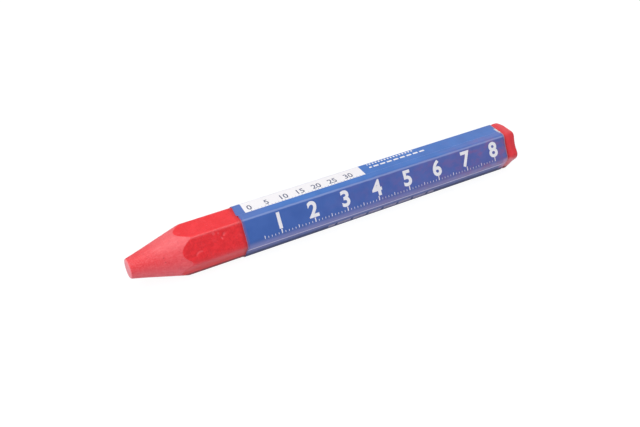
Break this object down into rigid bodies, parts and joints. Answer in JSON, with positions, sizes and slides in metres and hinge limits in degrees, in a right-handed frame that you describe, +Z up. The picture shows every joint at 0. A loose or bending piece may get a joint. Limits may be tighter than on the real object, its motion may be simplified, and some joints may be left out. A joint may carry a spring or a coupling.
{
  "type": "marking crayon",
  "caption": "Hexagonal red wax marking crayon with a turned blunt point, in a lapped and glued blue printed paper wrapper.",
  "frame": {"origin": "on the surface that the crayon lies on, under the middle of its length and width", "axes": "+X along the stick towards its rear end, so the point is at -X; +Z up from the flat it lies on; -Y is the side with the wrapper's lap and cut edge"},
  "size_m": [0.1186, 0.0142, 0.0126],
  "materials": {
    "wax": "satin",
    "wrapper": "satin",
    "glue": "matte"
  },
  "bodies": {
    "root": {"wax_stick": "wax", "paper_wrapper": "wrapper", "lead_glue": "glue", "tail_glue": "glue"}
  },
  "joints": []
}
